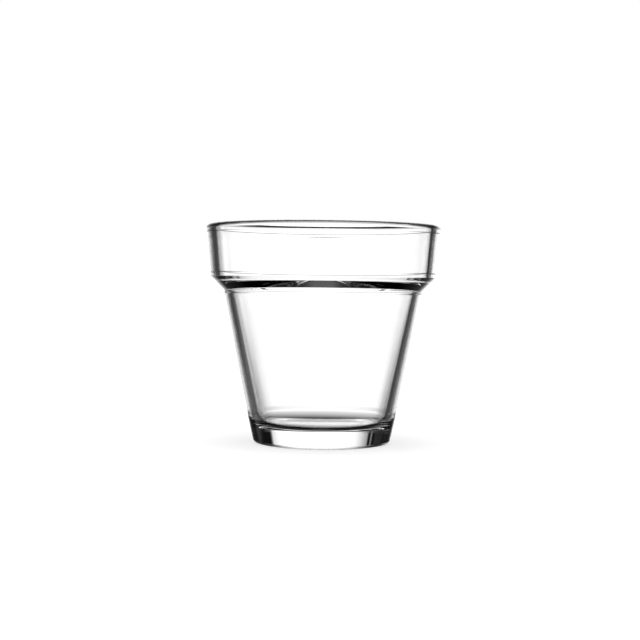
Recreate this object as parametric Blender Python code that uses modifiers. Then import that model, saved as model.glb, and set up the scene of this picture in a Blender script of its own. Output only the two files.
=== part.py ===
"""A clear pressed tumbler in the shape of a flower pot, as one turned solid of glass.

Blender 4.5 script, in metres, with +Z up. The origin lies on the axis of the glass, in the
plane that it stands on.
"""

import math

import bpy
from mathutils import Vector

# Driving dimensions, in metres, and in degrees where the name says so.
HEIGHT = 0.0800                 # standing plane to the crest of the lip
RIM_DIAMETER = 0.0868           # over the lip, before its outer corner is rounded
BEAD_HEIGHT = 0.0030            # crest of the lip to the lower edge of the bead
BEAD_DRAFT_DEG = 5.0            # the bead narrows downwards by this angle
BEAD_PROUD = 0.0002             # how far the bead stands out from the collar
COLLAR_DROP = 0.0175            # crest of the lip to the lower edge of the collar
COLLAR_DRAFT_DEG = 5.1          # the collar narrows downwards by this angle
COLLAR_WALL = 0.0036            # thickness of the collar, measured level
FLARE_DROP = 0.0055             # crest of the lip to where the inside begins to flare
FLARE_DRAFT_DEG = 6.6           # the inside opens by this angle near the lip
EDGE_HEIGHT = 0.0016            # narrow band between the collar and the sloping shoulder
EDGE_STEP = 0.0002              # how far that band is set in from the collar
SHOULDER_RUN = 0.0050           # width of the shoulder's outer slope
SHOULDER_DROP = 0.0051          # height of the shoulder's outer slope
LEDGE_DROP = 0.0199             # crest of the lip to the outer edge of the inner ledge
LEDGE_FALL = 0.0016             # how far the inner ledge falls towards the body
NECK_HEIGHT = 0.0010            # upright band below the shoulder
BODY_DRAFT_DEG = 11.5           # outer taper of the body
BODY_WALL = 0.0033              # thickness at the top of the body, measured level
INSIDE_DRAFT_DEG = 12.2         # inner taper of the body
FOOT_HEIGHT = 0.0096            # standing plane to the top of the foot band
FOOT_PROUD = 0.00015            # how far the foot band stands out from the body
FOOT_RISE = 0.0015              # height over which the body swells into the foot band
FOOT_DRAFT_DEG = 12.5           # taper of the foot band
BASE_THICKNESS = 0.0065         # standing plane to the inner floor
PUNT_DIAMETER = 0.0340          # hollow under the base, inside the ring that it stands on
PUNT_DEPTH = 0.0008             # how deep that hollow is at its centre

# Radii of the rounded corners, in metres.
FLOOR_FILLET = 0.0046           # inner floor into the inner wall
INSIDE_NECK_FILLET = 0.0004     # inner wall into the inner ledge
INSIDE_COLLAR_FILLET = 0.0028   # inner ledge into the collar
FLARE_FILLET = 0.0200           # collar into the flare near the lip
LIP_INNER_FILLET = 0.0006       # inner corner of the lip
LIP_OUTER_FILLET = 0.0017       # outer corner of the lip
SMALL_FILLET = 0.0002           # edges of the bead and of the narrow band
SHOULDER_FILLET = 0.0005        # outer corner where the shoulder begins
NECK_FILLET = 0.0016            # outer corner under the shoulder
NECK_FOOT_FILLET = 0.0020       # upright band into the tapered body
FOOT_FILLET = 0.0040            # both corners of the foot band's soft step
HEEL_FILLET = 0.0018            # foot band into the ring that the glass stands on

# Fineness of the mesh.
SEGMENTS = 64                   # facets round the axis
ARC_STEP_DEG = 24.0             # largest turn between two points of a rounded corner
LARGEST_SHARE = 0.95            # most of a straight stretch that its rounded ends may take
SHORTEST = 0.000001             # stretch too short to divide by
PUNT_STEPS = 4                  # points across the hollow under the base
AXIS_MERGE = 0.00001            # points closer than this on the axis are one point

# Look of the glass.
GLASS_COLOUR = (0.97, 0.985, 0.98, 1.0)
GLASS_ROUGHNESS = 0.02
GLASS_IOR = 1.52
SHARP_ANGLE_DEG = 30.0


def clear_scene():
    """Remove every object, so that the script starts from an empty scene."""
    for item in list(bpy.data.objects):
        bpy.data.objects.remove(item, do_unlink=True)


def rounded(corners):
    """Turn (radius, height, fillet) corners into a smooth run of (radius, height) points.

    Two fillets that are too large for the straight stretch between them share it.
    """
    places = [Vector(corner[:2]) for corner in corners]
    along = [end - start for start, end in zip(places, places[1:])]
    turns = [0.0] + [first.angle(second) for first, second in zip(along, along[1:])] + [0.0]
    wanted = [corner[2] * math.tan(turn / 2.0) for corner, turn in zip(corners, turns)]
    shares = []
    for stretch, first, second in zip(along, wanted, wanted[1:]):
        taken = max(first + second, SHORTEST)
        shares.append(min(1.0, LARGEST_SHARE * stretch.length / taken))
    points = [places[0]]
    for index in range(1, len(corners) - 1):
        turn = turns[index]
        before = -along[index - 1].normalized()
        after = along[index].normalized()
        tangent = wanted[index] * min(shares[index - 1], shares[index])
        reach = tangent / math.sin(turn / 2.0)
        centre = places[index] + (before + after).normalized() * reach
        start = places[index] + before * tangent - centre
        steps = math.ceil(math.degrees(turn) / ARC_STEP_DEG)
        side = math.copysign(1.0, before.y * after.x - before.x * after.y)
        for step in range(steps + 1):
            angle = side * turn * step / steps
            cosine = math.cos(angle)
            sine = math.sin(angle)
            spoke = Vector((cosine * start.x - sine * start.y, sine * start.x + cosine * start.y))
            points.append(centre + spoke)
    points.append(places[-1])
    return points


def slope_of(degrees):
    """How much the radius changes for each metre of height, at a draft angle."""
    return math.tan(math.radians(degrees))


def collar_bore(height):
    """Inner radius of the collar at a height."""
    radius, foot = outer_collar_foot()
    return radius - COLLAR_WALL + (height - foot) * slope_of(COLLAR_DRAFT_DEG)


def body_bore(height):
    """Inner radius of the body at a height."""
    radius, top = outer_body_top()
    return radius - BODY_WALL + (height - top) * slope_of(INSIDE_DRAFT_DEG)


def inside_corners():
    """Corners of the inside, from the middle of the floor up over the lip."""
    ledge_top = HEIGHT - LEDGE_DROP
    ledge_foot = ledge_top - LEDGE_FALL
    flare_foot = HEIGHT - FLARE_DROP
    lip_bore = collar_bore(flare_foot) + FLARE_DROP * slope_of(FLARE_DRAFT_DEG)
    return [
        (0.0, BASE_THICKNESS, 0.0),
        (body_bore(BASE_THICKNESS), BASE_THICKNESS, FLOOR_FILLET),
        (body_bore(ledge_foot), ledge_foot, INSIDE_NECK_FILLET),
        (collar_bore(ledge_top), ledge_top, INSIDE_COLLAR_FILLET),
        (collar_bore(flare_foot), flare_foot, FLARE_FILLET),
        (lip_bore, HEIGHT, LIP_INNER_FILLET),
        (RIM_DIAMETER / 2.0, HEIGHT, LIP_OUTER_FILLET),
    ]


def outer_bead_foot():
    """Radius and height of the bead's lower edge."""
    return RIM_DIAMETER / 2.0 - BEAD_HEIGHT * slope_of(BEAD_DRAFT_DEG), HEIGHT - BEAD_HEIGHT


def outer_collar_foot():
    """Radius and height of the collar's lower edge, on the outside."""
    radius, height = outer_bead_foot()
    foot = HEIGHT - COLLAR_DROP
    return radius - BEAD_PROUD - (height - foot) * slope_of(COLLAR_DRAFT_DEG), foot


def outer_shoulder_top():
    """Radius and height where the narrow band turns into the sloping shoulder."""
    radius, height = outer_collar_foot()
    return (radius - EDGE_STEP - EDGE_HEIGHT * slope_of(COLLAR_DRAFT_DEG),
            height - EDGE_HEIGHT)


def outer_body_top():
    """Radius and height where the tapered body begins, below the upright neck band."""
    radius, height = outer_shoulder_top()
    return radius - SHOULDER_RUN, height - SHOULDER_DROP - NECK_HEIGHT


def outside_corners():
    """Corners of the outside, from under the lip down to the standing ring."""
    bead_radius, bead_height = outer_bead_foot()
    collar_radius, collar_height = outer_collar_foot()
    edge_radius, edge_height = outer_shoulder_top()
    body_radius, body_height = outer_body_top()
    body_slope = slope_of(BODY_DRAFT_DEG)
    foot_radius = body_radius - (body_height - FOOT_HEIGHT) * body_slope
    heel_radius = foot_radius + FOOT_PROUD - FOOT_HEIGHT * slope_of(FOOT_DRAFT_DEG)
    return [
        (bead_radius, bead_height, SMALL_FILLET),
        (bead_radius - BEAD_PROUD, bead_height - BEAD_PROUD, SMALL_FILLET),
        (collar_radius, collar_height, SMALL_FILLET),
        (collar_radius - EDGE_STEP, collar_height - EDGE_STEP, SMALL_FILLET),
        (edge_radius, edge_height, SHOULDER_FILLET),
        (body_radius, body_height + NECK_HEIGHT, NECK_FILLET),
        (body_radius, body_height, NECK_FOOT_FILLET),
        (foot_radius + FOOT_RISE * body_slope, FOOT_HEIGHT + FOOT_RISE, FOOT_FILLET),
        (foot_radius + FOOT_PROUD, FOOT_HEIGHT, FOOT_FILLET),
        (heel_radius, 0.0, HEEL_FILLET),
        (PUNT_DIAMETER / 2.0, 0.0, 0.0),
    ]


def punt_points():
    """Points of the shallow hollow under the base, from its edge to the axis."""
    edge = PUNT_DIAMETER / 2.0
    sphere = (edge ** 2 + PUNT_DEPTH ** 2) / (2.0 * PUNT_DEPTH)
    points = []
    for step in range(PUNT_STEPS + 1):
        radius = edge * (1.0 - step / PUNT_STEPS)
        height = math.sqrt(sphere ** 2 - radius ** 2) - (sphere - PUNT_DEPTH)
        points.append(Vector((radius, height)))
    return points


def glass_material():
    """Clear soda-lime glass, fire polished."""
    material = bpy.data.materials.new("clear_glass")
    material.use_nodes = True
    shader = material.node_tree.nodes["Principled BSDF"]
    shader.inputs["Base Color"].default_value = GLASS_COLOUR
    shader.inputs["Roughness"].default_value = GLASS_ROUGHNESS
    shader.inputs["Metallic"].default_value = 0.0
    shader.inputs["IOR"].default_value = GLASS_IOR
    shader.inputs["Transmission Weight"].default_value = 1.0
    return material


def turned(name, profile, material, collection):
    """Turn a profile of (radius, height) points about the Z axis into one closed solid."""
    mesh = bpy.data.meshes.new(name)
    edges = [(index, index + 1) for index in range(len(profile) - 1)]
    mesh.from_pydata([(point.x, 0.0, point.y) for point in profile], edges, [])
    solid = bpy.data.objects.new(name, mesh)
    collection.objects.link(solid)
    mesh.materials.append(material)
    screw = solid.modifiers.new("turn", "SCREW")
    screw.axis = "Z"
    screw.angle = math.tau
    screw.steps = SEGMENTS
    screw.render_steps = SEGMENTS
    screw.use_merge_vertices = True
    screw.merge_threshold = AXIS_MERGE
    screw.use_smooth_shade = True
    return solid


def shade_corners(solid):
    """Keep the tight edges crisp and the rest of the surface smooth."""
    depsgraph = bpy.context.evaluated_depsgraph_get()
    mesh = bpy.data.meshes.new_from_object(solid.evaluated_get(depsgraph))
    mesh.name = solid.name
    solid.modifiers.clear()
    solid.data = mesh
    mesh.shade_smooth()
    mesh.set_sharp_from_angle(angle=math.radians(SHARP_ANGLE_DEG))


def main():
    """Build the glass in a collection of its own."""
    clear_scene()
    collection = bpy.data.collections.new("flower_pot_tumbler")
    bpy.context.scene.collection.children.link(collection)
    profile = rounded(inside_corners() + outside_corners())
    profile += punt_points()[1:]
    glass = turned("glass_body", profile, glass_material(), collection)
    shade_corners(glass)


main()
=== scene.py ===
"""Looks of a clear pressed tumbler in the shape of a flower pot.

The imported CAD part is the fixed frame. One finely turned piece of glass takes the place of its
only node. Round it stands a small turntable studio: a pale floor, a light tent whose white panel
is always opposite the camera, and a camera at the photograph's viewing angle.
"""

from __future__ import annotations

import logging
import math
from dataclasses import dataclass, field
from enum import Enum
from typing import Any, Iterable, Mapping, Sequence

import bpy
from mathutils import Matrix, Vector

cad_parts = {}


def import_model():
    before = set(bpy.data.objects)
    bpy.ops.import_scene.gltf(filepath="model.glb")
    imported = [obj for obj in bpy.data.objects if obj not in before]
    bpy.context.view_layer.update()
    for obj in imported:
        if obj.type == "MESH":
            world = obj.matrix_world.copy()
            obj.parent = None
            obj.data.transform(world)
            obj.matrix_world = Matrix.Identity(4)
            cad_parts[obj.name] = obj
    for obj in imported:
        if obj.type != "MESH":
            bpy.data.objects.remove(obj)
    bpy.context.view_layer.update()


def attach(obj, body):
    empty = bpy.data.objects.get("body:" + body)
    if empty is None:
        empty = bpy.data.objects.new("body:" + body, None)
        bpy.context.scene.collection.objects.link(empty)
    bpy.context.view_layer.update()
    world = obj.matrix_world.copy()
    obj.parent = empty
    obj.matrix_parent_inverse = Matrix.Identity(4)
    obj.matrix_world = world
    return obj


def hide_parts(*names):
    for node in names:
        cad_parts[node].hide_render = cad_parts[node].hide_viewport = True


LOG = logging.getLogger("tumbler")
BODY = "root"
NODE = "glass_body"
SLOT = "clear_glass"

# Lengths, in metres, that count as nothing on the outline.
NO_STRETCH = 1e-9
SAME_PLACE = 1e-7

# Brightness of the tent's unlit cloth, and the angle, in degrees, at which its rings close.
DARK = 0.004
BEHIND_DEG = 180.0
WHITE = (1.0, 1.0, 1.0, 1.0)

# Places of the colour sockets of a Mix node, whose names are not unique.
MIX_FACTOR = 0
MIX_FIRST = 6
MIX_SECOND = 7
MIX_RESULT = 2

Stop = tuple[float, float]
Point = tuple[float, float, float]


class Rays(Enum):
    """Kinds of ray that an object of the studio can be shown to."""

    CAMERA = "visible_camera"
    DIFFUSE = "visible_diffuse"
    GLOSSY = "visible_glossy"
    TRANSMISSION = "visible_transmission"
    SHADOW = "visible_shadow"


class Value:
    """A number inside a node tree, on which Python's operators add Math nodes."""

    def __init__(self, graph: Graph, socket: bpy.types.NodeSocket) -> None:
        """Keep the graph and the output socket that holds the number."""
        self.graph = graph
        self.socket = socket

    def _math(self, operation: str, *operands: Value | float) -> Value:
        """Add one Math node.

        Args:
            operation: Blender's name of the operation.
            operands: Its inputs, in order.

        Returns:
            The node's result.
        """
        inputs = dict(enumerate(operands))
        return self.graph.node("ShaderNodeMath", {"operation": operation}, inputs).value()

    def __add__(self, other: Value | float) -> Value:
        """Sum."""
        return self._math("ADD", self, other)

    __radd__ = __add__

    def __sub__(self, other: Value | float) -> Value:
        """Difference."""
        return self._math("SUBTRACT", self, other)

    def __rsub__(self, other: Value | float) -> Value:
        """Difference, with the number on the left."""
        return self._math("SUBTRACT", other, self)

    def __mul__(self, other: Value | float) -> Value:
        """Product."""
        return self._math("MULTIPLY", self, other)

    __rmul__ = __mul__

    def __truediv__(self, other: Value | float) -> Value:
        """Quotient."""
        return self._math("DIVIDE", self, other)

    def __rtruediv__(self, other: Value | float) -> Value:
        """Quotient, with the number on the left."""
        return self._math("DIVIDE", other, self)

    def angle_from(self, other: Value) -> Value:
        """Angle, in radians, whose tangent is this over the other."""
        return self._math("ARCTAN2", self, other)

    def arcsine(self) -> Value:
        """Angle, in radians, that has this sine."""
        return self._math("ARCSINE", self)


class Node:
    """A node that has been added to a graph, with short ways to its outputs."""

    def __init__(self, graph: Graph, node: bpy.types.Node) -> None:
        """Keep the graph and Blender's node."""
        self.graph = graph
        self.node = node

    def out(self, name: str | int = 0) -> bpy.types.NodeSocket:
        """Output socket of that name or place."""
        return self.node.outputs[name]

    def value(self, name: str | int = 0) -> Value:
        """Output of that name or place, as a number to reckon with."""
        return Value(self.graph, self.out(name))


class Graph:
    """The node tree of one material or of the world."""

    def __init__(self, tree: bpy.types.NodeTree) -> None:
        """Start from an empty tree."""
        self.tree = tree
        tree.nodes.clear()

    def node(self, kind: str, settings: Mapping[str, Any] | None = None,
             sockets: Mapping[str | int, Any] | None = None) -> Node:
        """Add a node.

        Args:
            kind: Blender's type of node.
            settings: Properties of the node, set before its sockets. "stops" fills a colour
                ramp with (position, brightness) pairs.
            sockets: Numbers, colours, nodes or sockets for its inputs, by name or place.

        Returns:
            The new node.
        """
        made = self.tree.nodes.new(kind)
        for name, setting in (settings or {}).items():
            if name == "stops":
                self._fill_ramp(made.color_ramp, setting)
            else:
                setattr(made, name, setting)
        for name, given in (sockets or {}).items():
            source = given.out() if isinstance(given, Node) else given
            source = source.socket if isinstance(source, Value) else source
            if isinstance(source, bpy.types.NodeSocket):
                self.tree.links.new(source, made.inputs[name])
            else:
                made.inputs[name].default_value = source
        return Node(self, made)

    def noise(self, place: bpy.types.NodeSocket, size: float, detail: float) -> Node:
        """Add a soft random pattern.

        Args:
            place: The point of the surface.
            size: Length of one patch of the pattern, in metres.
            detail: Number of finer patterns laid over it.

        Returns:
            The pattern's node.
        """
        return self.node("ShaderNodeTexNoise", {"noise_dimensions": "3D"},
                         {"Vector": place, "Scale": 1.0 / size, "Detail": detail})

    def ramp(self, value: Value, stops: Sequence[Stop]) -> bpy.types.NodeSocket:
        """Turn a number into a brightness by a colour ramp.

        Args:
            value: The number.
            stops: Pairs of a number and a brightness, in order.

        Returns:
            The brightness, as a grey colour.
        """
        low = stops[0][0]
        span = stops[-1][0] - low
        scaled = [((position - low) / span, brightness) for position, brightness in stops]
        return self.node("ShaderNodeValToRGB", {"stops": scaled},
                         {"Fac": (value - low) / span}).out("Color")

    @staticmethod
    def _fill_ramp(ramp: bpy.types.ColorRamp, stops: Sequence[Stop]) -> None:
        """Give a colour ramp its stops.

        Args:
            ramp: The ramp, with the two stops that it starts with.
            stops: Pairs of a position and a brightness, in order.
        """
        while len(ramp.elements) < len(stops):
            ramp.elements.new(1.0)
        for element, (position, brightness) in zip(ramp.elements, stops):
            element.position = position
            element.color = (brightness, brightness, brightness, 1.0)


def empty_material(name: str) -> tuple[bpy.types.Material, Graph]:
    """Start a material.

    Args:
        name: Its name.

    Returns:
        The material, and its graph without any nodes.
    """
    material = bpy.data.materials.new(name)
    material.use_nodes = True
    return material, Graph(material.node_tree)


def add_object(name: str, data: bpy.types.ID | None) -> bpy.types.Object:
    """Put an object into the scene.

    Args:
        name: Its name.
        data: Its mesh, camera or lamp, or none for an empty.

    Returns:
        The new object.
    """
    made = bpy.data.objects.new(name, data)
    bpy.context.scene.collection.objects.link(made)
    return made


def add_mesh(name: str, points: Sequence[Point], faces: Sequence[Sequence[int]],
             material: bpy.types.Material) -> bpy.types.Object:
    """Put a mesh of one material into the scene.

    Args:
        name: Name of the mesh and of the object.
        points: Its points, in metres.
        faces: Its faces, as places in the list of points.
        material: Its material.

    Returns:
        The new object.
    """
    mesh = bpy.data.meshes.new(name)
    mesh.from_pydata(points, [], faces)
    mesh.materials.append(material)
    return add_object(name, mesh)


@dataclass(frozen=True)
class Corner:
    """One corner of the turned outline, in metres."""

    radius: float
    height: float
    fillet: float = 0.0


@dataclass(frozen=True)
class OutlinePoint:
    """A point of the finished outline and the direction in which the surface faces there."""

    place: Vector
    facing: Vector


@dataclass(frozen=True)
class ClearGlass:
    """Fire-polished pressed glass: clear, with the mould's slight waves and a faint film."""

    refraction: float = 1.52
    clearest: float = 1.0
    dullest: float = 0.985
    smoothest: float = 0.0
    roughest: float = 0.012
    wave_size: float = 0.012
    wave_depth: float = 0.000004
    wave_detail: float = 2.0
    film_size: float = 0.030
    film_detail: float = 3.0
    dull_below: float = 0.3
    clear_above: float = 0.7

    def material(self) -> bpy.types.Material:
        """Build the material.

        Returns:
            The finished material, named for its slot.
        """
        material, graph = empty_material(SLOT)
        place = graph.node("ShaderNodeTexCoord").out("Object")
        waves = graph.noise(place, self.wave_size, self.wave_detail)
        bump = graph.node("ShaderNodeBump", {},
                          {"Strength": 1.0, "Distance": self.wave_depth,
                           "Height": waves.out("Fac")})
        film = graph.noise(place, self.film_size, self.film_detail)
        roughness = self.smoothest + film.value("Fac") * (self.roughest - self.smoothest)
        stops = ((self.dull_below, self.dullest), (self.clear_above, self.clearest))
        tint = graph.node("ShaderNodeValToRGB", {"stops": stops}, {"Fac": film.out("Fac")})
        shader = graph.node("ShaderNodeBsdfPrincipled", {},
                            {"Base Color": tint.out("Color"), "Roughness": roughness,
                             "IOR": self.refraction, "Transmission Weight": 1.0,
                             "Normal": bump})
        graph.node("ShaderNodeOutputMaterial", {}, {"Surface": shader})
        return material


@dataclass
class Tumbler:
    """The glass: sizes in metres, with angles in degrees where the name says so."""

    finish: ClearGlass
    height: float = 0.0800
    rim_diameter: float = 0.0868
    bead_height: float = 0.0030
    bead_draft_deg: float = 5.0
    bead_proud: float = 0.0002
    collar_drop: float = 0.0175
    collar_draft_deg: float = 5.1
    collar_wall: float = 0.0036
    flare_drop: float = 0.0055
    flare_draft_deg: float = 6.6
    edge_height: float = 0.0016
    edge_step: float = 0.0002
    shoulder_run: float = 0.0050
    shoulder_drop: float = 0.0051
    ledge_drop: float = 0.0194
    ledge_fall: float = 0.0024
    neck_height: float = 0.0010
    body_draft_deg: float = 11.5
    body_wall: float = 0.0033
    inside_draft_deg: float = 12.2
    foot_height: float = 0.0096
    foot_proud: float = 0.00015
    foot_rise: float = 0.0015
    foot_draft_deg: float = 12.5
    base_thickness: float = 0.0065
    punt_diameter: float = 0.0340
    punt_depth: float = 0.0008
    flare_fillet: float = 0.0200
    lip_inner_fillet: float = 0.0006
    lip_outer_fillet: float = 0.0017
    floor_fillet: float = 0.0046
    inside_neck_fillet: float = 0.0004
    inside_collar_fillet: float = 0.0012
    small_fillet: float = 0.0002
    shoulder_fillet: float = 0.0005
    neck_fillet: float = 0.0016
    neck_foot_fillet: float = 0.0020
    foot_fillet: float = 0.0040
    heel_fillet: float = 0.0018
    segments: int = 288
    arc_step_deg: float = 6.0
    fewest_arc_steps: int = 2
    longest_step: float = 0.0030
    punt_steps: int = 12
    bead_foot: Corner = field(init=False)
    collar_foot: Corner = field(init=False)
    shoulder_top: Corner = field(init=False)
    body_top: Corner = field(init=False)

    def __post_init__(self) -> None:
        """Work out the places that several corners share."""
        slope = math.tan(math.radians(self.collar_draft_deg))
        bead_slope = math.tan(math.radians(self.bead_draft_deg))
        self.bead_foot = Corner(self.rim_diameter / 2.0 - self.bead_height * bead_slope,
                                self.height - self.bead_height)
        collar = (self.bead_foot.radius - self.bead_proud
                  - (self.collar_drop - self.bead_height) * slope)
        self.collar_foot = Corner(collar, self.height - self.collar_drop)
        self.shoulder_top = Corner(collar - self.edge_step - self.edge_height * slope,
                                   self.collar_foot.height - self.edge_height)
        self.body_top = Corner(
            self.shoulder_top.radius - self.shoulder_run,
            self.shoulder_top.height - self.shoulder_drop - self.neck_height)

    def inside(self) -> list[Corner]:
        """Lay out the inside.

        Returns:
            Its corners, from the middle of the floor up to the lip.
        """
        collar_slope = math.tan(math.radians(self.collar_draft_deg))
        inside_slope = math.tan(math.radians(self.inside_draft_deg))
        flare_slope = math.tan(math.radians(self.flare_draft_deg))
        flare_foot = self.height - self.flare_drop
        ledge_top = self.height - self.ledge_drop
        ledge_foot = ledge_top - self.ledge_fall
        collar_bore = self.collar_foot.radius - self.collar_wall
        body_bore = self.body_top.radius - self.body_wall

        def bore_in_collar(height: float) -> float:
            """Inner radius of the collar at a height."""
            return collar_bore + (height - self.collar_foot.height) * collar_slope

        def bore_in_body(height: float) -> float:
            """Inner radius of the body at a height."""
            return body_bore + (height - self.body_top.height) * inside_slope

        return [
            Corner(0.0, self.base_thickness),
            Corner(bore_in_body(self.base_thickness), self.base_thickness, self.floor_fillet),
            Corner(bore_in_body(ledge_foot), ledge_foot, self.inside_neck_fillet),
            Corner(bore_in_collar(ledge_top), ledge_top, self.inside_collar_fillet),
            Corner(bore_in_collar(flare_foot), flare_foot, self.flare_fillet),
            Corner(bore_in_collar(flare_foot) + self.flare_drop * flare_slope, self.height,
                   self.lip_inner_fillet),
            Corner(self.rim_diameter / 2.0, self.height, self.lip_outer_fillet),
        ]

    def outside(self) -> list[Corner]:
        """Lay out the outside.

        Returns:
            Its corners, from under the lip down to the inner edge of the standing ring.
        """
        body_slope = math.tan(math.radians(self.body_draft_deg))
        foot_slope = math.tan(math.radians(self.foot_draft_deg))
        foot = self.body_top.radius - (self.body_top.height - self.foot_height) * body_slope
        small = self.small_fillet
        return [
            Corner(self.bead_foot.radius, self.bead_foot.height, small),
            Corner(self.bead_foot.radius - self.bead_proud,
                   self.bead_foot.height - self.bead_proud, small),
            Corner(self.collar_foot.radius, self.collar_foot.height, small),
            Corner(self.collar_foot.radius - self.edge_step,
                   self.collar_foot.height - self.edge_step, small),
            Corner(self.shoulder_top.radius, self.shoulder_top.height, self.shoulder_fillet),
            Corner(self.body_top.radius, self.body_top.height + self.neck_height,
                   self.neck_fillet),
            Corner(self.body_top.radius, self.body_top.height, self.neck_foot_fillet),
            Corner(foot + self.foot_rise * body_slope, self.foot_height + self.foot_rise,
                   self.foot_fillet),
            Corner(foot + self.foot_proud, self.foot_height, self.foot_fillet),
            Corner(foot + self.foot_proud - self.foot_height * foot_slope, 0.0,
                   self.heel_fillet),
            Corner(self.punt_diameter / 2.0, 0.0),
        ]

    def rounded(self, corners: Sequence[Corner]) -> list[OutlinePoint]:
        """Round the corners of an outline.

        Two fillets that would overlap on the stretch between them share it in proportion.

        Args:
            corners: The corners, in order, with the glass on the right-hand side.

        Returns:
            Points with the exact direction of the surface at each.
        """
        places = [Vector((corner.radius, corner.height)) for corner in corners]
        along = [(end - start).normalized() for start, end in zip(places, places[1:])]
        lengths = [(end - start).length for start, end in zip(places, places[1:])]
        turns = [0.0] + [before.angle(after) for before, after in zip(along, along[1:])] + [0.0]
        wanted = [corner.fillet * math.tan(turn / 2.0) for corner, turn in zip(corners, turns)]
        shares = [min(1.0, length / max(first + second, NO_STRETCH))
                  for length, first, second in zip(lengths, wanted, wanted[1:])]
        points = [OutlinePoint(places[0], self.left_of(along[0]))]
        for index in range(1, len(corners) - 1):
            tangent = wanted[index] * min(shares[index - 1], shares[index])
            points += self.arc(places[index], along[index - 1], along[index], tangent)
        points.append(OutlinePoint(places[-1], self.left_of(along[-1])))
        return points

    def arc(self, corner: Vector, before: Vector, after: Vector,
            tangent: float) -> list[OutlinePoint]:
        """Round one corner.

        Args:
            corner: Place of the corner.
            before: Direction of the outline on the way to the corner.
            after: Direction of the outline on the way from it.
            tangent: Length that the arc takes from the outline on either side.

        Returns:
            Points of the arc, in order.
        """
        turn = before.angle(after)
        fillet = tangent / math.tan(turn / 2.0)
        side = math.copysign(1.0, before.x * after.y - before.y * after.x)
        start = corner - before * tangent
        centre = start + self.left_of(before) * (fillet * side)
        first = start - centre
        steps = max(self.fewest_arc_steps, math.ceil(math.degrees(turn) / self.arc_step_deg))
        points = []
        for step in range(steps + 1):
            angle = side * turn * step / steps
            spoke = Vector((math.cos(angle) * first.x - math.sin(angle) * first.y,
                            math.sin(angle) * first.x + math.cos(angle) * first.y))
            points.append(OutlinePoint(centre + spoke, spoke.normalized() * -side))
        return points

    @staticmethod
    def left_of(along: Vector) -> Vector:
        """Unit direction on the left-hand side of a stretch of the outline."""
        return Vector((-along.y, along.x)).normalized()

    def punt(self) -> list[OutlinePoint]:
        """Lay out the shallow hollow under the base, a part of a sphere.

        Returns:
            Its points, from beside its edge to the axis.
        """
        edge = self.punt_diameter / 2.0
        sphere = (edge ** 2 + self.punt_depth ** 2) / (2.0 * self.punt_depth)
        points = []
        for step in range(1, self.punt_steps + 1):
            radius = edge * (1.0 - step / self.punt_steps)
            rise = math.sqrt(sphere ** 2 - radius ** 2)
            place = Vector((radius, rise - (sphere - self.punt_depth)))
            points.append(OutlinePoint(place, Vector((-radius, -rise)).normalized()))
        return points

    def outline(self) -> list[OutlinePoint]:
        """Join the inside, the outside and the hollow.

        Returns:
            The whole outline, with long stretches split into steps of even length.
        """
        coarse = self.rounded(self.inside() + self.outside()) + self.punt()
        points = [coarse[0]]
        for start, end in zip(coarse, coarse[1:]):
            gap = (end.place - start.place).length
            if gap < SAME_PLACE:
                continue
            steps = max(1, math.ceil(gap / self.longest_step))
            for step in range(1, steps + 1):
                share = step / steps
                points.append(OutlinePoint(start.place.lerp(end.place, share),
                                           start.facing.lerp(end.facing, share).normalized()))
        return points

    def skin(self, rings: int) -> list[tuple[int, ...]]:
        """Join the turned points into faces.

        Args:
            rings: Number of the outline's points that lie off the axis.

        Returns:
            The faces, as places in the list of points, which ends with the two on the axis.
        """
        floor_middle = self.segments * rings
        punt_middle = floor_middle + 1
        faces: list[tuple[int, ...]] = []
        for segment in range(self.segments):
            here = segment * rings
            there = (segment + 1) % self.segments * rings
            faces.append((floor_middle, here, there))
            for ring in range(rings - 1):
                faces.append((here + ring, here + ring + 1, there + ring + 1, there + ring))
            faces.append((here + rings - 1, punt_middle, there + rings - 1))
        return faces

    def build(self) -> bpy.types.Object:
        """Turn the outline into one closed piece and dress it.

        Returns:
            The glass, riding on the frame in place of the CAD solid.
        """
        outline = self.outline()
        off_axis = outline[1:-1]
        places: list[Point] = []
        facings: list[Point] = []
        for segment in range(self.segments):
            angle = math.tau * segment / self.segments
            cosine = math.cos(angle)
            sine = math.sin(angle)
            for point in off_axis:
                radius, height = point.place
                places.append((radius * cosine, radius * sine, height))
                facings.append((point.facing.x * cosine, point.facing.x * sine, point.facing.y))
        for middle in (outline[0], outline[-1]):
            places.append((0.0, 0.0, middle.place.y))
            facings.append((0.0, 0.0, math.copysign(1.0, middle.facing.y)))

        faces = self.skin(len(off_axis))
        glass = add_mesh("turned_glass", places, faces, self.finish.material())
        glass.data.shade_smooth()
        glass.data.normals_split_custom_set_from_vertices(facings)
        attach(glass, BODY)
        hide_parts(NODE)
        return glass


@dataclass(frozen=True)
class Band:
    """One ring of the tent: brightness by the angle to the right of the panel, in degrees."""

    rise: float
    front: tuple[Stop, ...] = ()
    behind: float = DARK

    def stops(self) -> tuple[Stop, ...]:
        """All stops of the ring, which closes behind the camera."""
        return ((-BEHIND_DEG, self.behind), *self.front, (BEHIND_DEG, self.behind))


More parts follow.
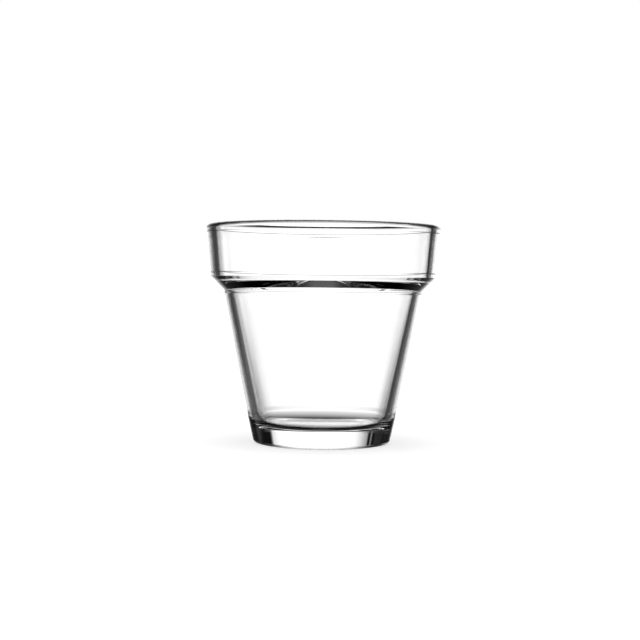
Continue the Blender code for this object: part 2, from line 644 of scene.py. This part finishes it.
@dataclass(frozen=True)
class TentLight:
    """Light of the tent by direction: a white panel between dark sides, over a dimmer table."""

    bands: tuple[Band, ...] = (
        # Below the table: dark, but for the dim patch that lights the band at the shoulder.
        Band(-90.0),
        Band(-78.0),
        Band(-70.4, ((-30.0, DARK), (-10.0, 0.09), (10.0, 0.09), (30.0, DARK))),
        Band(-63.0),
        Band(-44.0),
        # The table, brighter towards the foot of the panel.
        Band(-37.0, ((-60.0, 0.005), (-16.0, 0.06), (14.0, 0.06), (60.0, 0.005))),
        Band(-28.0, ((-60.0, 0.01), (-14.0, 0.06), (-6.0, 0.2), (8.0, 0.34), (16.0, 0.12),
                     (36.0, 0.05), (60.0, 0.01))),
        Band(-21.0, ((-50.0, 0.01), (-20.0, 0.06), (-10.0, 0.38), (10.0, 0.5), (20.0, 0.1),
                     (30.0, 0.08), (50.0, 0.01))),
        # The lower half of the panel, with a dim light on either side of it.
        Band(-14.0, ((-76.0, DARK), (-67.0, 0.42), (-58.0, 0.7), (-51.0, 0.33), (-46.0, 0.02),
                     (-27.0, 0.04), (-22.0, 0.25), (-18.0, 0.48), (-9.0, 0.6), (14.0, 0.68),
                     (20.0, 0.38), (24.0, 0.2), (28.0, 0.05), (45.0, 0.03), (51.0, 0.14),
                     (60.0, 0.08), (76.0, DARK))),
        Band(-8.0, ((-76.0, DARK), (-67.0, 0.3), (-58.0, 0.5), (-51.0, 0.32), (-46.0, 0.06),
                    (-36.0, 0.03), (-27.0, 0.04), (-22.0, 0.15), (-18.0, 0.52), (-14.0, 0.8),
                    (-8.0, 0.96), (14.0, 0.96), (19.0, 0.7), (24.0, 0.46), (28.0, 0.18),
                    (31.0, 0.06), (45.0, 0.03), (51.0, 0.1), (60.0, 0.02))),
        Band(-3.0, ((-76.0, DARK), (-67.0, 0.33), (-58.0, 0.7), (-51.0, 0.2), (-46.0, 0.02),
                    (-28.0, 0.05), (-24.0, 0.2), (-21.0, 0.48), (-18.0, 0.78), (-13.0, 0.95),
                    (-7.0, 1.0), (20.0, 1.0), (25.0, 0.9), (28.0, 0.76), (30.0, 0.45),
                    (33.0, 0.08), (38.0, 0.06), (42.0, 0.01), (60.0, 0.1), (76.0, DARK))),
        # The middle of the panel, then its upper half with a thin slit of light on the left.
        Band(2.0, ((-60.0, 0.02), (-48.0, 0.03), (-42.0, 0.02), (-34.0, 0.06), (-28.0, 0.08),
                   (-24.5, 0.24), (-21.0, 0.7), (-18.5, 0.97), (-14.0, 1.0), (22.0, 1.0),
                   (28.0, 0.88), (30.0, 0.6), (32.5, 0.1), (38.0, 0.06), (41.0, 0.01))),
        Band(7.0, ((-50.0, DARK), (-46.0, 0.018), (-36.5, 0.018), (-35.5, DARK), (-32.8, DARK),
                   (-32.3, 0.18), (-31.7, 0.18), (-31.2, DARK), (-28.9, DARK), (-28.3, 0.27),
                   (-26.0, 0.37), (-24.0, 0.52), (-20.0, 0.74), (-14.0, 0.88), (-4.0, 1.0),
                   (20.0, 1.0), (27.0, 0.76), (31.9, 0.56), (32.5, DARK))),
        Band(12.0, ((-50.0, DARK), (-46.0, 0.018), (-36.5, 0.018), (-35.5, DARK), (-32.8, DARK),
                    (-32.3, 0.18), (-31.7, 0.18), (-31.2, DARK), (-28.9, DARK), (-28.3, 0.27),
                    (-26.0, 0.37), (-24.0, 0.5), (-20.0, 0.66), (-12.0, 0.85), (0.0, 1.0),
                    (20.0, 1.0), (27.0, 0.76), (31.9, 0.56), (32.5, DARK))),
        # The soft top of the panel, and the roof.
        Band(20.0, ((-40.0, DARK), (-33.0, 0.15), (-27.0, 0.33), (-20.0, 0.5), (-12.0, 0.85),
                    (0.0, 0.85), (12.0, 0.75), (18.0, 0.45), (26.0, 0.1), (34.0, 0.06),
                    (45.0, DARK))),
        Band(28.0, ((-42.0, 0.02), (-33.0, 0.2), (-22.0, 0.38), (-12.0, 0.72), (12.0, 0.68),
                    (20.0, 0.54), (28.0, 0.27), (45.0, 0.01))),
        Band(38.0, ((-60.0, 0.04), (-36.0, 0.25), (-20.0, 0.4), (0.0, 0.85), (20.0, 0.7),
                    (40.0, 0.33), (60.0, 0.08))),
        Band(55.0, ((-60.0, 0.06), (0.0, 0.5), (60.0, 0.07))),
        Band(90.0, behind=0.04),
    )
    strength: float = 1.4

    def material(self) -> bpy.types.Material:
        """Build the glowing material of the tent.

        Returns:
            The finished material.
        """
        material, graph = empty_material("tent_light")
        place = graph.node("ShaderNodeTexCoord").out("Object")
        unit = graph.node("ShaderNodeVectorMath", {"operation": "NORMALIZE"}, {0: place})
        axes = graph.node("ShaderNodeSeparateXYZ", {}, {0: unit.out("Vector")})
        turn = axes.value("X").angle_from(axes.value("Y")) * math.degrees(1.0)
        rise = axes.value("Z").arcsine() * math.degrees(1.0)
        glow = graph.ramp(turn, self.bands[0].stops())
        for below, above in zip(self.bands, self.bands[1:]):
            share = (rise - below.rise) / (above.rise - below.rise)
            glow = graph.node("ShaderNodeMix", {"data_type": "RGBA", "clamp_factor": True},
                              {MIX_FACTOR: share, MIX_FIRST: glow,
                               MIX_SECOND: graph.ramp(turn, above.stops())}).out(MIX_RESULT)
        light = graph.node("ShaderNodeEmission", {}, {"Color": glow, "Strength": self.strength})
        graph.node("ShaderNodeOutputMaterial", {}, {"Surface": light})
        return material


@dataclass(frozen=True)
class PaleFloor:
    """A plain white floor, which the camera sees near white with the object's soft shadow."""

    colour: tuple[float, float, float, float] = (0.85, 0.85, 0.85, 1.0)
    glow: float = 0.68

    def material(self) -> bpy.types.Material:
        """Build the floor's material.

        Returns:
            The finished material.
        """
        material, graph = empty_material("pale_floor")
        rays = graph.node("ShaderNodeLightPath")
        light = graph.node("ShaderNodeEmission", {},
                           {"Strength": rays.value("Is Camera Ray") * self.glow})
        matt = graph.node("ShaderNodeBsdfDiffuse", {}, {"Color": self.colour})
        both = graph.node("ShaderNodeAddShader", {}, {0: light, 1: matt})
        graph.node("ShaderNodeOutputMaterial", {}, {"Surface": both})
        return material


@dataclass
class Studio:
    """Camera, light and floor round the glass. Lengths in metres, angles in degrees."""

    floor_finish: PaleFloor
    tent_light: TentLight
    camera_distance: float = 0.511
    camera_height: float = 0.058
    lens: float = 78.02
    sensor: float = 36.0
    pitch_deg: float = 1.4455
    yaw_deg: float = 0.1115
    roll_deg: float = 0.62
    floor_radius: float = 4.0
    floor_sides: int = 96
    tent_radius: float = 2.0
    tent_columns: int = 96
    tent_rows: int = 48
    lamp_spread_deg: float = 60.0
    lamp_strength: float = 1.4
    ambient: float = 0.12

    def place_camera(self) -> bpy.types.Object:
        """Put the camera where the photograph was taken from, and make it the scene's.

        Returns:
            The camera.
        """
        data = bpy.data.cameras.new("camera")
        data.lens = self.lens
        data.sensor_width = self.sensor
        camera = add_object("camera", data)
        turn = (Matrix.Rotation(math.radians(self.yaw_deg), 4, "Z")
                @ Matrix.Rotation(math.radians(90.0 - self.pitch_deg), 4, "X")
                @ Matrix.Rotation(math.radians(self.roll_deg), 4, "Z"))
        camera.matrix_world = Matrix.Translation(
            (0.0, -self.camera_distance, self.camera_height)) @ turn
        bpy.context.scene.camera = camera
        return camera

    @staticmethod
    def show_to(item: bpy.types.Object, kinds: Iterable[Rays]) -> None:
        """Let only some kinds of ray see an object of the studio.

        Args:
            item: The object.
            kinds: The kinds of ray.
        """
        seen = set(kinds)
        for kind in Rays:
            setattr(item, kind.value, kind in seen)

    def lay_floor(self) -> bpy.types.Object:
        """Lay the floor that the glass stands on.

        Returns:
            The floor.
        """
        corners = []
        for index in range(self.floor_sides):
            turn = math.tau * index / self.floor_sides
            corners.append((self.floor_radius * math.cos(turn),
                            self.floor_radius * math.sin(turn), 0.0))
        floor = add_mesh("floor", corners, [tuple(range(self.floor_sides))],
                         self.floor_finish.material())
        self.show_to(floor, (Rays.CAMERA, Rays.DIFFUSE, Rays.SHADOW))
        return floor

    def pitch_tent(self, camera: bpy.types.Object) -> bpy.types.Object:
        """Pitch the light tent, which tips and turns so that its panel stays behind the glass.

        Args:
            camera: The camera that the tent faces.

        Returns:
            The tent.
        """
        rig = add_object("turntable", None)
        rig.location = (0.0, 0.0, self.camera_height)
        track = rig.constraints.new("TRACK_TO")
        track.target = camera
        track.track_axis = "TRACK_NEGATIVE_Y"
        track.up_axis = "UP_Z"

        columns = self.tent_columns
        points = []
        for row in range(self.tent_rows + 1):
            rise = math.pi * (row / self.tent_rows - 0.5)
            for column in range(columns):
                turn = math.tau * column / columns
                points.append((self.tent_radius * math.cos(rise) * math.cos(turn),
                               self.tent_radius * math.cos(rise) * math.sin(turn),
                               self.tent_radius * math.sin(rise)))
        faces = []
        for row in range(self.tent_rows):
            for column in range(columns):
                beside = (column + 1) % columns
                faces.append((row * columns + column, (row + 1) * columns + column,
                              (row + 1) * columns + beside, row * columns + beside))
        tent = add_mesh("light_tent", points, faces, self.tent_light.material())
        tent.data.validate()
        tent.parent = rig
        self.show_to(tent, (Rays.GLOSSY, Rays.TRANSMISSION))
        return tent

    def hang_lamp(self) -> bpy.types.Object:
        """Hang one wide soft lamp over the glass, for its shadow on the floor.

        Returns:
            The lamp.
        """
        data = bpy.data.lights.new("soft_lamp", "SUN")
        data.angle = math.radians(self.lamp_spread_deg)
        data.energy = self.lamp_strength
        lamp = add_object("soft_lamp", data)
        self.show_to(lamp, (Rays.DIFFUSE, Rays.SHADOW))
        return lamp

    def light_world(self) -> bpy.types.World:
        """Give the camera a white background and everything else a plain soft level.

        Returns:
            The world, in use in the scene.
        """
        world = bpy.data.worlds.new("studio")
        world.use_nodes = True
        graph = Graph(world.node_tree)
        camera_ray = graph.node("ShaderNodeLightPath").value("Is Camera Ray")
        strength = camera_ray * (1.0 - self.ambient) + self.ambient
        light = graph.node("ShaderNodeBackground", {}, {"Color": WHITE, "Strength": strength})
        graph.node("ShaderNodeOutputWorld", {}, {"Surface": light})
        bpy.context.scene.world = world
        return world

    def build(self) -> None:
        """Set up the whole studio."""
        camera = self.place_camera()
        LOG.info("camera %s, lens %.1f mm", camera.name, self.lens)
        for item in (self.lay_floor(), self.pitch_tent(camera), self.hang_lamp()):
            LOG.info("studio: %s", item.name)
        LOG.info("world: %s", self.light_world().name)


def main() -> None:
    """Load the frame, build the glass and the studio, and log what was built."""
    logging.basicConfig(level=logging.INFO, format="%(message)s")
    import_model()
    bpy.context.scene.view_settings.view_transform = "Standard"
    glass = Tumbler(ClearGlass()).build()
    LOG.info("piece: %s, %d faces", glass.name, len(glass.data.polygons))
    Studio(PaleFloor(), TentLight()).build()
    bpy.context.view_layer.update()


if __name__ == "__main__":
    main()
